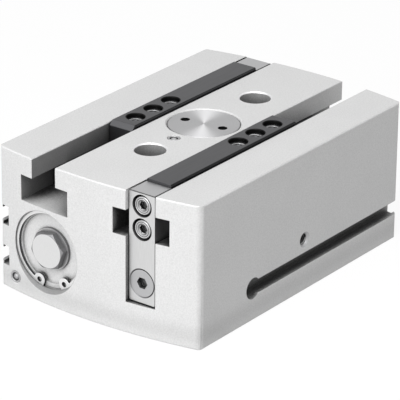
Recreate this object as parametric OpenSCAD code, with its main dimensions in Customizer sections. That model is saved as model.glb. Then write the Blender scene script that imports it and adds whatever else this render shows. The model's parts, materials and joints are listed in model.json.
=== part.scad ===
// Twin pneumatic slide gripper with two opposed jaw slides.
// One housing carries two T-slots. A jaw slide runs in each, driven by its own piston,
// and a pinion between the two racks makes them move apart and together in step.
// X runs along the slides, Y across them, Z up. The origin is the centre of the underside.
// The rear unit (+Y) is modelled, and the front unit is the same turned half a turn about Z.
// The slides are drawn closed, and each opens by "stroke": the rear one towards +X.

/* [Housing] */
// Width across the two slides
body_w = 90; // [86:0.5:120]
// Height
body_h = 54.5; // [53:0.5:80]
// Length along the side faces
body_l = 123.1; // [108:0.1:180]
// Bulge of the crowned end faces at mid width
crown = 4.9; // [3:0.1:8]
// Radius of the vertical corners
corner_r = 3; // [1.5:0.5:5]
// Chamfer of the outer edges
edge_c = 0.4; // [0.2:0.1:0.8]
// Thickness of the metal above the wide part of each T-slot
slot_lip_h = 7.6; // [6.5:0.1:9]

/* [Jaw slides] */
// Travel of each slide
stroke = 40; // [20:1:48]
// Width of the wide lower part
flange_w = 22.8; // [21:0.1:27.4]
// Height of the wide lower part
flange_h = 9.6; // [8:0.1:11.6]
// Width of the narrow upper part
neck_w = 10.5; // [10:0.1:12.6]
// Height of the slide above the housing
slide_proud = 1; // [0.5:0.1:4]
// Length of the narrow part past the centre of the housing
neck_lead = 21.2; // [21:0.1:30]
// Distance between neighbouring finger holes
finger_pitch = 10.5; // [9:0.1:13]
// Tapping radius of the finger holes
finger_tap_r = 2.1; // [1.6:0.1:2.5]
// Radius of the centring seat at each finger hole
finger_seat_r = 3.5; // [3:0.1:4.2]
// Depth of the centring seats
finger_seat_h = 1.6; // [1:0.1:2.5]

/* [Gear] */
// Module of the pinion and racks
gear_m = 1; // [0.8:0.05:1.1]
// Teeth on the pinion, an even number
pinion_teeth = 22; // [20:2:24]
// Pressure angle
pressure_a = 20; // [20:0.5:25]
// Play between the teeth
backlash = 0.12; // [0.06:0.01:0.3]
// Radius of the pinion axle
axle_r = 4; // [3:0.1:5]

/* [Driver bars] */
// Width
bar_w = 11.15; // [11:0.05:13.4]
// Thickness
bar_t = 9.5; // [8:0.1:11.4]
// Height of the bar below the rod axis
bar_drop = 7.5; // [6.5:0.1:9]

/* [Cylinders] */
// Height of the bore axis
cyl_z = 20.2; // [19.8:0.1:21.5]
// Bore radius
bore_r = 12.5; // [10.4:0.1:13.4]
// Rod radius
rod_r = 5; // [4:0.1:5.4]
// Thickness of the piston
piston_t = 11; // [10:0.1:14]
// Thickness of the end cap
cap_t = 6.4; // [6:0.1:9]
// Length of the rod bush
bush_l = 12; // [8:0.5:14]
// Tapping radius of the air ports
port_r = 2.1; // [1.6:0.1:2.5]

/* [Mounting] */
// Distance between the two mounting holes
mount_pitch = 63.6; // [56:0.1:70]
// Radius of the waist of a mounting hole
mount_r = 3.4; // [2.6:0.1:4.3]
// Radius of the screw head bore
mount_head_r = 5.75; // [4.8:0.05:6.2]
// Radius of the centring seats underneath
mount_seat_r = 6; // [5:0.1:7]

/* [Sensor grooves] */
// Width of the mouth
groove_mouth = 5.4; // [5:0.1:6]
// Width behind the lips
groove_w = 7.4; // [7:0.1:8]
// Depth
groove_depth = 4.8; // [4.2:0.1:5.2]
// Height of the lower grooves
groove_low_z = 12.45; // [10:0.05:13]
// Height of the upper groove at the rear
groove_high_z = 28.15; // [28:0.05:31]
// Distance of each keyhole from the centre
keyhole_x = 30.4; // [20:0.1:40]

/* [Clearances] */
// Radial play of the piston in its bore
piston_gap = 0.05; // [0.03:0.01:0.1]
// Radial play of rods and the pinion in their bushes
run_gap = 0.03; // [0.02:0.01:0.08]
// Radial play of parts that are pressed or glued in
seat_gap = 0.02; // [0.01:0.01:0.05]
// Play of a slide in its T-slot, on each side
slide_gap = 0.1; // [0.05:0.01:0.15]
// Play beside the narrow part of a slide, on each side
neck_gap = 0.55; // [0.4:0.05:0.7]
// Play beside a driver bar in its recess, on each side
bar_gap = 0.425; // [0.3:0.025:0.6]

/* [Hidden] */
$fn = 96;
eps = 0.5;              // how far a cutter runs past the face that it opens
far = 200;              // longer than the housing can be

// Gear: the racks are cut in the inner flanks of the slides
pitch = PI * gear_m;
pitch_r = gear_m * pinion_teeth / 2;
base_r = pitch_r * cos(pressure_a);
pinion_tip_r = pitch_r + gear_m;
pinion_root_r = pitch_r - 1.25 * gear_m;
rack_tip = 0.8 * gear_m;        // rack tooth height above the pitch line
rack_root = 1.25 * gear_m;      // and below it
half_tooth = pitch / 4 - backlash / 4;
rack_tip_y = pitch_r - rack_tip;
rack_first = -ceil((stroke + 5 * gear_m) / pitch - 0.5);    // first and last tooth space
rack_last = ceil(sqrt(pinion_tip_r^2 - rack_tip_y^2) / pitch - 0.35);

// Slides and slots
unit_y = rack_tip_y + flange_w / 2;     // each slide, bar and cylinder lies on this line
slot_top_z = body_h - slot_lip_h;
slot_floor_z = slot_top_z - flange_h - 2 * slide_gap;
slot_w = flange_w + 2 * slide_gap;
slot_neck_w = neck_w + 2 * neck_gap;
slide_top_z = body_h + slide_proud;
slide_tail_x = (rack_first - 0.5) * pitch - half_tooth + rack_tip * tan(pressure_a);

// Crowned ends
end_r = body_w^2 / (8 * crown) + crown / 2;
end_c = body_l / 2 + crown - end_r;
end_x = end_c + sqrt(end_r^2 - unit_y^2);   // end face where a cylinder or bar meets it

// Driver bar and the recess that it sits in
bar_set_back = 1.03;        // front of the bar behind the crowned face
bar_face_x = end_x - bar_set_back;
bar_back_x = bar_face_x - bar_t;
bar_bottom_z = cyl_z - bar_drop;
bar_top_z = body_h - 0.1;
recess_x = bar_back_x - 0.6;
recess_w = bar_w + 2 * bar_gap;
recess_bottom_z = bar_bottom_z - 0.7;
jaw_screw_z = [body_h - 5, body_h - 13.9];
jaw_screw_l = 11;           // how far the M4 screws reach into the slide
m4_r = 2;
m6_r = 3;
screw_gap = 0.05;
head_h = 4;                 // M4 cap screw
head_r = 3.5;
head_bore_r = 4.2;
head_bore_h = 4.3;
sunk_r = 5.4;               // M6 countersunk screw
sunk_h = sunk_r - m6_r;

// Cylinder: u runs along its axis, from the centre of the housing to the cap end
cap_set_back = 3.93;                        // cap behind the crowned face
hub_l = 4.2;
end_gap = 0.5;                              // left between hub and bore end when open
shoulder_gap = 0.02;                        // between the rod's shoulder and the hub
rod_seal_l = 4.2;
cap_face_u = end_x - cap_set_back;
cap_u = cap_face_u - cap_t;
piston_u = cap_u - 0.7;                     // face of the piston when closed
hub_u = piston_u - piston_t - hub_l;        // end of the piston hub when closed
bore_end_u = hub_u - stroke - end_gap;
seal_end_u = bore_end_u - rod_seal_l;
port_u = bore_end_u + port_r + 0.2;
cap_r = bore_r + 2.45;
cap_seat_r = cap_r + 0.05;
bush_r = rod_r + 1;
rod_seal_r = rod_r + 3.95;
spigot_r = rod_r - 1;
circlip_t = 1.2;
circlip_r = cap_seat_r + 0.6;
stop_collar_u = cap_face_u - 1;
stop_shank_r = 4;
o_ring_r = 0.8;
o_ring_mid_u = cap_u + 2.6;
seal_mid_u = piston_u - piston_t + 3;
piston_step_r = bore_r - 3;                 // bottom of the seal and magnet grooves

// Pinion and its cover
cavity_r = pinion_tip_r + 0.5;
cavity_floor_z = slot_floor_z - 0.8;
pinion_z = slot_floor_z + 0.4;
pinion_top_z = slot_top_z - 0.4;
pinion_bush_r = axle_r + 1;
cover_r = cavity_r + 0.8;
cover_z = slot_top_z + 3.4;
cover_top_z = body_h - 0.3;
axle_z = pinion_z - 13.5;
axle_top_z = cover_z + 1.2;

mount_seat_h = 2.6;
mount_floor_z = 8;
plug_x = -17.9;
plug_depth = 0.15;          // top of each ball below its face
top_plug_r = 2.25;
end_plug_r = 2.15;
end_plug_y = body_w / 2 - 8;
end_plug_z = 5.5;

// Everything of the front unit is the rear one turned about the middle
module front() rotate([0, 0, 180]) children();

module both() for (a = [0, 180]) rotate([0, 0, a]) children();

// Extrudes a (Y, Z) section along X
module along_x(x0, x1) translate([x0, 0, 0]) rotate([90, 0, 90]) linear_extrude(x1 - x0) children();

// Local z becomes u on the axis of the rear cylinder, and local x points up
module on_cylinder(u = 0) translate([-u, unit_y, cyl_z]) rotate([0, -90, 0]) children();

// Local z points out of the rear driver bar at height z, starting at x
module out_of_bar(x, z) translate([x, unit_y, z]) rotate([0, 90, 0]) children();

module tube(r_out, r_in, z0, z1) {
    translate([0, 0, z0]) difference() {
        cylinder(r = r_out, h = z1 - z0);
        translate([0, 0, -eps]) cylinder(r = r_in, h = z1 - z0 + 2 * eps);
    }
}

module hex_hole(across, depth) rotate([0, 0, 30]) cylinder(d = across / cos(30), h = depth, $fn = 6);

// ---- housing ----

module chamfered_section(w, z0, z1, c) {
    h = w / 2;
    polygon([[-h + c, z0], [h - c, z0], [h, z0 + c], [h, z1 - c],
             [h - c, z1], [-h + c, z1], [-h, z1 - c], [-h, z0 + c]]);
}

// A large disc whose rim is the crown of one end
module crown_disc() {
    translate([end_c, 0, 0]) rotate_extrude($fn = 360)
        polygon([[0, 0], [end_r - edge_c, 0], [end_r, edge_c], [end_r, body_h - edge_c],
                 [end_r - edge_c, body_h], [0, body_h]]);
}

// What is cut away to round the corner at +X +Y. Its arc meets both faces at a slight angle.
module corner_cut() {
    lean = asin((body_w / 2 - corner_r) / (end_r - corner_r));
    c = [end_c + (end_r - corner_r) * cos(lean) + 0.03, body_w / 2 - corner_r + 0.03];
    reach = 3 * corner_r;
    translate([c[0], c[1], -eps]) linear_extrude(body_h + 2 * eps) difference() {
        polygon([[0, 0], reach * [cos(lean), sin(lean)], reach * [1.2, 1.2], [0, reach]]);
        circle(r = corner_r);
    }
}

module housing_blank() {
    difference() {
        intersection() {
            along_x(-far / 2, far / 2) chamfered_section(body_w, 0, body_h, edge_c);
            crown_disc();
            front() crown_disc();
        }
        both() {
            corner_cut();
            mirror([0, 1, 0]) corner_cut();
        }
    }
}

module slot_section() {
    mouth_c = 0.3;
    n = slot_neck_w / 2;
    w = slot_w / 2;
    translate([unit_y, 0])
        polygon([[-w, slot_floor_z], [w, slot_floor_z], [w, slot_top_z], [n, slot_top_z],
                 [n, body_h - mouth_c], [n + mouth_c + eps, body_h + eps],
                 [-n - mouth_c - eps, body_h + eps], [-n, body_h - mouth_c],
                 [-n, slot_top_z], [-w, slot_top_z]]);
}

module groove_section() {
    lip = 1.7;
    m = groove_mouth / 2;
    w = groove_w / 2;
    polygon([[body_w / 2 + eps, -m], [body_w / 2 - lip, -m], [body_w / 2 - lip, -w],
             [body_w / 2 - groove_depth, -w], [body_w / 2 - groove_depth, w],
             [body_w / 2 - lip, w], [body_w / 2 - lip, m], [body_w / 2 + eps, m]]);
}

// Groove in the rear face, from a keyhole to the -X end
module groove(z) {
    translate([0, 0, z]) {
        along_x(-far / 2, keyhole_x) groove_section();
        translate([keyhole_x, body_w / 2 - groove_depth, 0]) rotate([-90, 0, 0])
            cylinder(r = groove_w / 2 + 0.35, h = groove_depth + eps);
    }
}

// Rod bush seat, rod hole, seal pocket, bore, cap seat, circlip groove and lead-in
module cylinder_cut() {
    bush_end_u = -recess_x + bush_l;
    on_cylinder() rotate_extrude()
        polygon([[0, -recess_x - eps], [bush_r + seat_gap, -recess_x - eps], [bush_r + seat_gap, bush_end_u],
                 [rod_r + 0.3, bush_end_u], [rod_r + 0.3, seal_end_u], [rod_seal_r + 0.05, seal_end_u],
                 [rod_seal_r + 0.05, bore_end_u], [bore_r, bore_end_u], [bore_r, cap_u],
                 [cap_seat_r, cap_u], [cap_seat_r, cap_face_u], [circlip_r + 0.1, cap_face_u],
                 [circlip_r + 0.1, cap_face_u + circlip_t + 0.1], [cap_seat_r, cap_face_u + circlip_t + 0.1],
                 [cap_seat_r, cap_face_u + 1.5], [cap_seat_r + 1.5, cap_face_u + 8], [0, cap_face_u + 8]]);
}

module port_cut() {
    translate([-port_u, 0, cyl_z]) rotate([-90, 0, 0]) {
        translate([0, 0, unit_y]) cylinder(r = port_r, h = body_w / 2);
        translate([0, 0, body_w / 2 - 0.9]) cylinder(r1 = port_r, r2 = port_r + 1.4, h = 1.4);
    }
}

// Screw head bore, waist and centring seat of one mounting hole
module mount_cut() {
    translate([mount_pitch / 2, 0, 0]) rotate_extrude()
        polygon([[0, -eps], [mount_seat_r, -eps], [mount_seat_r, mount_seat_h], [mount_r, mount_seat_h],
                 [mount_r, mount_floor_z], [mount_head_r, mount_floor_z], [mount_head_r, body_h - 0.45],
                 [mount_head_r + 0.95, body_h + eps], [0, body_h + eps]]);
}

module pinion_cut() {
    rotate_extrude()
        polygon([[0, axle_z - 0.1], [axle_r + seat_gap, axle_z - 0.1], [axle_r + seat_gap, cavity_floor_z],
                 [cavity_r, cavity_floor_z], [cavity_r, cover_z], [cover_r + 0.05, cover_z],
                 [cover_r + 0.05, body_h - 0.75], [cover_r + 1.3, body_h + eps], [0, body_h + eps]]);
}

// A plain hole with a chamfered mouth, its mouth at z = 0
module plug_hole(r) {
    translate([0, 0, -6.5]) cylinder(r = r + seat_gap, h = 7);
    translate([0, 0, -0.4]) cylinder(r1 = r, r2 = r + 0.9, h = 0.9);
}

module end_plug_place() {
    x = end_c + sqrt(end_r^2 - end_plug_y^2);
    translate([-x, end_plug_y, end_plug_z]) rotate([0, -90, 0]) children();
}

module housing() {
    color([0.85, 0.86, 0.87]) difference() {
        housing_blank();
        both() {
            along_x(-far / 2, far / 2) slot_section();
            translate([recess_x, unit_y - recess_w / 2, recess_bottom_z])
                cube([far / 2, recess_w, body_h]);
            cylinder_cut();
            port_cut();
            mount_cut();
            groove(groove_low_z);
            end_plug_place() plug_hole(end_plug_r);
        }
        groove(groove_high_z);
        pinion_cut();
        translate([plug_x, 0, body_h]) plug_hole(top_plug_r);
    }
}

// ---- jaw slide with its rack ----

// Outline of the wide part from above, with straight-sided rack teeth on the inner flank
module flange_outline() {
    tip_gap = pitch / 2 - half_tooth + rack_tip * tan(pressure_a);
    root_gap = pitch / 2 - half_tooth - rack_root * tan(pressure_a);
    root_y = pitch_r + rack_root;
    outer_y = unit_y + flange_w / 2;
    spaces = [for (k = [rack_first : rack_last])
        each [[k * pitch - tip_gap, rack_tip_y], [k * pitch - root_gap, root_y],
              [k * pitch + root_gap, root_y], [k * pitch + tip_gap, rack_tip_y]]];
    polygon(concat([[slide_tail_x, rack_tip_y]], spaces,
        [[bar_back_x, rack_tip_y], [bar_back_x, outer_y], [slide_tail_x, outer_y]]));
}

module finger_hole() {
    rotate_extrude()
        polygon([[0, eps], [finger_seat_r + 0.25 + eps, eps], [finger_seat_r, -0.25],
                 [finger_seat_r, -finger_seat_h], [finger_tap_r, -finger_seat_h],
                 [finger_tap_r, -11], [0, -11 - finger_tap_r / 2]]);
}

module jaw_slide() {
    z0 = slot_floor_z + slide_gap;
    bevel = 1.8;
    color([0.2, 0.2, 0.21]) difference() {
        union() {
            translate([0, 0, z0]) linear_extrude(flange_h) flange_outline();
            along_x(-neck_lead, bar_back_x) translate([unit_y, 0])
                chamfered_section(neck_w, z0 + flange_h / 2, slide_top_z, 0.3);
        }
        translate([-neck_lead, unit_y, slide_top_z]) rotate([0, 45, 0])
            cube([bevel * sqrt(2), neck_w + 2 * eps, bevel * sqrt(2)], center = true);
        for (i = [0 : 2])
            translate([-neck_lead + 8.7 + i * finger_pitch, unit_y, slide_top_z]) finger_hole();
        for (z = jaw_screw_z)
            out_of_bar(bar_back_x - jaw_screw_l, z) cylinder(r = m4_r + screw_gap, h = jaw_screw_l + eps);
    }
}

// ---- driver bar and its screws ----

module driver_bar() {
    c = 0.3;
    color([0.78, 0.79, 0.80]) difference() {
        along_x(bar_back_x, bar_face_x) translate([unit_y, 0])
            chamfered_section(bar_w, bar_bottom_z, bar_top_z, c);
        for (z = jaw_screw_z) {
            out_of_bar(bar_back_x - eps, z) cylinder(r = m4_r + screw_gap, h = bar_t);
            out_of_bar(bar_face_x - head_bore_h, z) cylinder(r = head_bore_r, h = head_bore_h + eps);
        }
        out_of_bar(bar_back_x - eps, cyl_z) cylinder(r = m6_r + screw_gap, h = bar_t + 2 * eps);
        out_of_bar(bar_face_x - sunk_h - 0.1, cyl_z)
            cylinder(r1 = m6_r + screw_gap, r2 = sunk_r + screw_gap + 0.1, h = sunk_h + 0.1);
    }
}

module jaw_screws() {
    for (z = jaw_screw_z)
        color([0.7, 0.7, 0.71]) out_of_bar(bar_face_x - head_bore_h, z) difference() {
            union() {
                translate([0, 0, -13]) cylinder(r = m4_r, h = 13.5);
                cylinder(r = head_r, h = head_h - 0.3);
                translate([0, 0, head_h - 0.3]) cylinder(r1 = head_r, r2 = head_r - 0.3, h = 0.3);
            }
            translate([0, 0, head_h - 2]) hex_hole(3, 3);
            translate([0, 0, head_h - 0.5]) cylinder(r1 = 1.7, r2 = 2.5, h = 0.8);
        }
}

module rod_screw() {
    color([0.7, 0.7, 0.71]) out_of_bar(bar_face_x - 0.1 - sunk_h, cyl_z) difference() {
        union() {
            translate([0, 0, -19]) cylinder(r = m6_r, h = 19.5);
            cylinder(r1 = m6_r, r2 = sunk_r, h = sunk_h);
        }
        translate([0, 0, sunk_h - 2.2]) hex_hole(4, 3);
    }
}

// ---- piston group ----

module piston() {
    magnet_u = piston_u - 4.1;
    color([0.75, 0.76, 0.78]) on_cylinder() rotate_extrude()
        polygon([[spigot_r + 0.03, hub_u], [bore_r - 2.25, hub_u], [bore_r - 2.25, piston_u - piston_t],
                 [bore_r - piston_gap, piston_u - piston_t], [bore_r - piston_gap, seal_mid_u - 1.5],
                 [piston_step_r, seal_mid_u - 1.5], [piston_step_r, seal_mid_u + 1.5],
                 [bore_r - piston_gap, seal_mid_u + 1.5],
                 [bore_r - piston_gap, magnet_u], [piston_step_r, magnet_u], [piston_step_r, piston_u],
                 [spigot_r + 0.03, piston_u]]);
}

module piston_seal() {
    color([0.1, 0.1, 0.1]) on_cylinder()
        tube(bore_r - run_gap, piston_step_r + seat_gap, seal_mid_u - 1.45, seal_mid_u + 1.45);
}

module magnet_ring() {
    color([0.35, 0.35, 0.37]) on_cylinder()
        tube(bore_r - 0.25, piston_step_r + seat_gap, piston_u - 4.05, piston_u - 0.05);
}

module piston_rod() {
    color([0.8, 0.8, 0.82]) on_cylinder() difference() {
        union() {
            translate([0, 0, -bar_back_x]) cylinder(r = rod_r, h = bar_back_x + hub_u - shoulder_gap);
            cylinder(r = spigot_r, h = piston_u - 0.2);
        }
        translate([0, 0, -bar_back_x - eps]) cylinder(r = m6_r + screw_gap, h = 14);
    }
}

module rod_bush() {
    color([0.72, 0.58, 0.3]) on_cylinder() tube(bush_r, rod_r + run_gap, -recess_x, -recess_x + bush_l);
}

// Lip seal whose open side faces the pressure
module rod_seal() {
    r0 = rod_r + run_gap;
    color([0.1, 0.1, 0.1]) on_cylinder() rotate_extrude()
        polygon([[r0 + 0.2, seal_end_u], [rod_seal_r, seal_end_u], [rod_seal_r, bore_end_u - 0.2],
                 [rod_seal_r - 1, bore_end_u - 0.2], [(r0 + rod_seal_r) / 2, seal_end_u + 1.6],
                 [r0 + 1, bore_end_u - 0.2], [r0, bore_end_u - 0.6], [r0 + 0.2, seal_end_u + 1]]);
}

// ---- end cap group ----

module end_cap() {
    rim = 1.6;
    floor_r = cap_seat_r - 2 * o_ring_r - 0.1;
    color([0.84, 0.85, 0.86]) on_cylinder() rotate_extrude()
        polygon([[stop_shank_r + 0.05, cap_u], [cap_r, cap_u], [cap_r, o_ring_mid_u - 1.3],
                 [floor_r, o_ring_mid_u - 1.3], [floor_r, o_ring_mid_u + 1.3], [cap_r, o_ring_mid_u + 1.3],
                 [cap_r, cap_face_u], [cap_r - rim, cap_face_u], [cap_r - rim, stop_collar_u],
                 [stop_shank_r + 0.05, stop_collar_u]]);
}

module cap_o_ring() {
    color([0.1, 0.1, 0.1]) on_cylinder(o_ring_mid_u) rotate_extrude()
        translate([cap_seat_r - o_ring_r - 0.05, 0]) circle(r = o_ring_r, $fn = 32);
}

// Internal retaining ring with two plier lugs, its gap turned slightly off the bottom
module circlip() {
    ring_w = 1.75;
    lug_r = 2.4;
    lug_a = 25;
    gap_a = 16;
    lug_mid_r = circlip_r - 2.1;
    color([0.86, 0.87, 0.88]) on_cylinder(cap_face_u) rotate([0, 0, 185.25]) linear_extrude(circlip_t)
        difference() {
            intersection() {
                circle(r = circlip_r);
                union() {
                    difference() {
                        circle(r = circlip_r + eps);
                        circle(r = circlip_r - ring_w);
                        polygon([[0, 0], 2 * circlip_r * [cos(gap_a), sin(gap_a)],
                                 2 * circlip_r * [cos(gap_a), -sin(gap_a)]]);
                    }
                    for (s = [-1, 1]) rotate(s * lug_a) translate([lug_mid_r, 0]) circle(r = lug_r, $fn = 48);
                }
            }
            for (s = [-1, 1]) rotate(s * lug_a) translate([lug_mid_r, 0]) circle(r = 1, $fn = 32);
        }
}

// Hexagon-headed stop that closes the cap and cushions the piston
module stop_screw() {
    head_af = 13;
    head_u = stop_collar_u + 3.7;
    face_r = 6.4;                       // face left by the 30 degree chamfer of the corners
    tip_r = head_af / 2 / cos(30);
    chamfer_h = (tip_r + 1 - face_r) * tan(30);
    color([0.82, 0.83, 0.84]) on_cylinder() {
        translate([0, 0, piston_u + 0.3]) cylinder(r = stop_shank_r, h = stop_collar_u - piston_u);
        translate([0, 0, stop_collar_u]) cylinder(r = 8, h = 1);
        intersection() {
            translate([0, 0, stop_collar_u + 0.5]) rotate([0, 0, -20])
                cylinder(r = tip_r, h = head_u - stop_collar_u - 0.5, $fn = 6);
            rotate_extrude()
                polygon([[0, stop_collar_u], [tip_r + 1, stop_collar_u], [tip_r + 1, head_u - chamfer_h],
                         [face_r, head_u], [0, head_u]]);
        }
    }
}

// ---- pinion group ----

// Angle in degrees between the pitch point of an involute and its point at radius r
function unwind(r) = let(a = acos(min(1, base_r / r))) tan(a) * 180 / PI - a;
// Half the angle that a pinion tooth takes up at radius r
function tooth_a(r) = half_tooth / pitch_r * 180 / PI + unwind(pitch_r) - unwind(r);
function polar(r, a) = [r * cos(a), r * sin(a)];

module pinion_outline() {
    steps = 5;
    flank = [for (i = [0 : steps]) base_r + 0.001 + (pinion_tip_r - base_r) * i / steps];
    polygon([for (t = [0 : pinion_teeth - 1])
        let (mid = 90 + t * 360 / pinion_teeth)
        each concat([polar(pinion_root_r, mid - tooth_a(base_r))],
            [for (i = [0 : steps]) polar(flank[i], mid - tooth_a(flank[i]))],
            [for (i = [steps : -1 : 0]) polar(flank[i], mid + tooth_a(flank[i]))],
            [polar(pinion_root_r, mid + tooth_a(base_r))])]);
}

module pinion() {
    color([0.55, 0.56, 0.58]) difference() {
        translate([0, 0, pinion_z]) linear_extrude(pinion_top_z - pinion_z) pinion_outline();
        translate([0, 0, pinion_z - eps])
            cylinder(r = pinion_bush_r + seat_gap, h = pinion_top_z - pinion_z + 2 * eps);
    }
}

// Flanged bush that keeps the pinion off the floor of its cavity
module pinion_bush() {
    color([0.72, 0.58, 0.3]) rotate_extrude()
        polygon([[axle_r + run_gap, cavity_floor_z + 0.1], [pinion_bush_r + 1.5, cavity_floor_z + 0.1],
                 [pinion_bush_r + 1.5, pinion_z], [pinion_bush_r, pinion_z],
                 [pinion_bush_r, pinion_top_z], [axle_r + run_gap, pinion_top_z]]);
}

module pinion_axle() {
    color([0.7, 0.7, 0.72]) translate([0, 0, axle_z]) cylinder(r = axle_r, h = axle_top_z - axle_z);
}

// Cover with a boss that holds the upper end of the axle, and two spanner holes
module pinion_cover() {
    spanner_mid_r = 7.9;
    spanner_a = 95.8;
    boss_r = 6.5;
    color([0.8, 0.81, 0.82]) difference() {
        rotate_extrude()
            polygon([[axle_r + seat_gap, pinion_top_z + 0.4], [boss_r, pinion_top_z + 0.4], [boss_r, cover_z],
                     [cover_r, cover_z], [cover_r, cover_top_z - 0.3], [cover_r - 0.3, cover_top_z],
                     [0, cover_top_z], [0, axle_top_z + 0.3], [axle_r + seat_gap, axle_top_z + 0.3]]);
        rotate([0, 0, spanner_a]) for (s = [-1, 1])
            translate([s * spanner_mid_r, 0, cover_top_z - 2.5]) cylinder(r = 1.75, h = 4);
    }
}

// ---- balls that close the drilled air ducts ----

module plug(r) translate([0, 0, -plug_depth - r]) sphere(r = r);

module top_duct_plug() color([0.6, 0.6, 0.61]) translate([plug_x, 0, body_h]) plug(top_plug_r);

module end_duct_plugs() both() color([0.6, 0.6, 0.61]) end_plug_place() plug(end_plug_r);

housing();
jaw_slide();  // rear_jaw_slide
front() jaw_slide();  // front_jaw_slide
driver_bar();  // rear_driver_bar
front() driver_bar();  // front_driver_bar
jaw_screws();  // rear_jaw_screws
front() jaw_screws();  // front_jaw_screws
rod_screw();  // rear_rod_screw
front() rod_screw();  // front_rod_screw
piston();  // rear_piston
front() piston();  // front_piston
piston_rod();  // rear_piston_rod
front() piston_rod();  // front_piston_rod
piston_seal();  // rear_piston_seal
front() piston_seal();  // front_piston_seal
magnet_ring();  // rear_magnet_ring
front() magnet_ring();  // front_magnet_ring
rod_bush();  // rear_rod_bush
front() rod_bush();  // front_rod_bush
rod_seal();  // rear_rod_seal
front() rod_seal();  // front_rod_seal
end_cap();  // rear_end_cap
front() end_cap();  // front_end_cap
cap_o_ring();  // rear_cap_o_ring
front() cap_o_ring();  // front_cap_o_ring
circlip();  // rear_circlip
front() circlip();  // front_circlip
stop_screw();  // rear_stop_screw
front() stop_screw();  // front_stop_screw
pinion();
pinion_bush();
pinion_axle();
pinion_cover();
top_duct_plug();
end_duct_plugs();
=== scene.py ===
# Pneumatic gripper with two opposed jaw slides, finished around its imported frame.
# The camera and lights come first, then the finishes, then one function for each kind of piece.
import json
from math import cos, pi, radians, sin, sqrt

import bmesh
import bpy
from mathutils import Matrix, Vector


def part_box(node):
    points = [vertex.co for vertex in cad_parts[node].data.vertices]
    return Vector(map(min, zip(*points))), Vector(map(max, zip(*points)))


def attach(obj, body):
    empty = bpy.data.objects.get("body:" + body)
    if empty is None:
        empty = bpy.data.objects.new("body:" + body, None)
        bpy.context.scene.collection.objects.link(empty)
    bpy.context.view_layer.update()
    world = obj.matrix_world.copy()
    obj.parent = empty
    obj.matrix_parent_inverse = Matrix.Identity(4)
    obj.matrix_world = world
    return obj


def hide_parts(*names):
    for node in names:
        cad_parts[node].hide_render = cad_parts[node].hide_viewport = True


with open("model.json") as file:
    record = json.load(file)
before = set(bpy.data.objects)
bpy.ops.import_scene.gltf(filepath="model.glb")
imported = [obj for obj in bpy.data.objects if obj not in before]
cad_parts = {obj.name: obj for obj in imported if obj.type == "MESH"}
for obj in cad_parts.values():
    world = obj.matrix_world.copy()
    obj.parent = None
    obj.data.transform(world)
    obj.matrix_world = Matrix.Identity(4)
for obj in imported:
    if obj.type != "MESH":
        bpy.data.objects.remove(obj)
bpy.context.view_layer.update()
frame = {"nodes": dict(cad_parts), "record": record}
mm = 0.001
sides = {"rear": 1, "front": -1}      # each slide, and which side of the middle it runs on along Y
nodeBody = {node: body for body, nodes in frame["record"]["behaviour"]["bodies"].items() for node in nodes}
nodeSlot = {row["node"]: row["material_slot"] for row in frame["record"]["subparts"]}
mounts = {row["name"]: row for row in frame["record"]["mounts"]}


cameraView = {
    "azimuth": -53.407,      # degrees round the object, 0 looks along +Y
    "elevation": 23.528,     # degrees above the horizon
    "roll": 0.597,
    "distance": 1.11005,     # metres from the aim point
    "aim": (0, 0, 0.024),
    "aside": (1.093 * mm, 0.025 * mm),     # how far right and up of the middle the aim point is seen
    "lens": 272.6,
    "sensor": 36,
    "clip": (0.05, 20),
}


def addCamera(v):
    a, e, r = radians(v["azimuth"]), radians(v["elevation"]), radians(v["roll"])
    back = Vector((sin(a) * cos(e), -cos(a) * cos(e), sin(e)))
    level = Vector((cos(a), sin(a), 0))
    upright = back.cross(level)
    right = cos(r) * level + sin(r) * upright
    up = -sin(r) * level + cos(r) * upright
    data = bpy.data.cameras.new("camera")
    data.lens, data.sensor_width = v["lens"], v["sensor"]
    data.clip_start, data.clip_end = v["clip"]
    camera = bpy.data.objects.new("camera", data)
    bpy.context.scene.collection.objects.link(camera)
    place = Vector(v["aim"]) + back * v["distance"] - right * v["aside"][0] - up * v["aside"][1]
    camera.matrix_world = Matrix.Translation(place) @ Matrix((right, up, back)).transposed().to_4x4()
    bpy.context.scene.camera = camera


addCamera(cameraView)
bpy.context.scene.view_settings.view_transform = "Standard"
print("camera set")


# Adds a node. A setting is one of the node's properties, or an input by its name or number.
# A link is an input by its name, with _ for a space, or by its number after a _.
# In a mix of colours, input 0 is the share and inputs 6 and 7 are the two colours.
def addNode(tree, kind, settings=None, **links):
    node = tree.nodes.new(kind)
    for key, value in (settings or {}).items():
        if isinstance(key, str) and hasattr(node, key):
            setattr(node, key, value)
        else:
            node.inputs[key].default_value = value
    for key, source in links.items():
        socket = int(key[1:]) if key[1:].isdigit() else key.replace("_", " ")
        tree.links.new(source, node.inputs[socket])
    return node


def toLinear(hexColour):
    channels = [int(hexColour[i:i + 2], 16) / 255 for i in (1, 3, 5)]
    return [c / 12.92 if c <= 0.04045 else ((c + 0.055) / 1.055) ** 2.4 for c in channels] + [1]


stageLook = {
    "white": "#FFFFFF",
    "fill": 0.24,            # world strength on matt surfaces
    "paper": "#AEAEAE",      # how much light the floor gives back
    "lift": 0.9,             # how far the floor is carried to white where it is seen
    "floor": 8,              # metres across
    "lamps": [               # name, place, aim, size, watts
        ("topLamp", (-0.5, -0.36, 1.25), (0, 0, 0.03), 0.9, 13),
        ("endLamp", (-1.35, 0, 0.6), (0, 0, 0.03), 1.4, 20),
    ],
}


def addLamp(name, place, aim, size, watts):
    data = bpy.data.lights.new(name, "AREA")
    data.size, data.energy = size, watts
    lamp = bpy.data.objects.new(name, data)
    bpy.context.scene.collection.objects.link(lamp)
    lamp.location = place
    lamp.rotation_euler = (Vector(aim) - Vector(place)).to_track_quat("-Z", "Y").to_euler()


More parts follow.
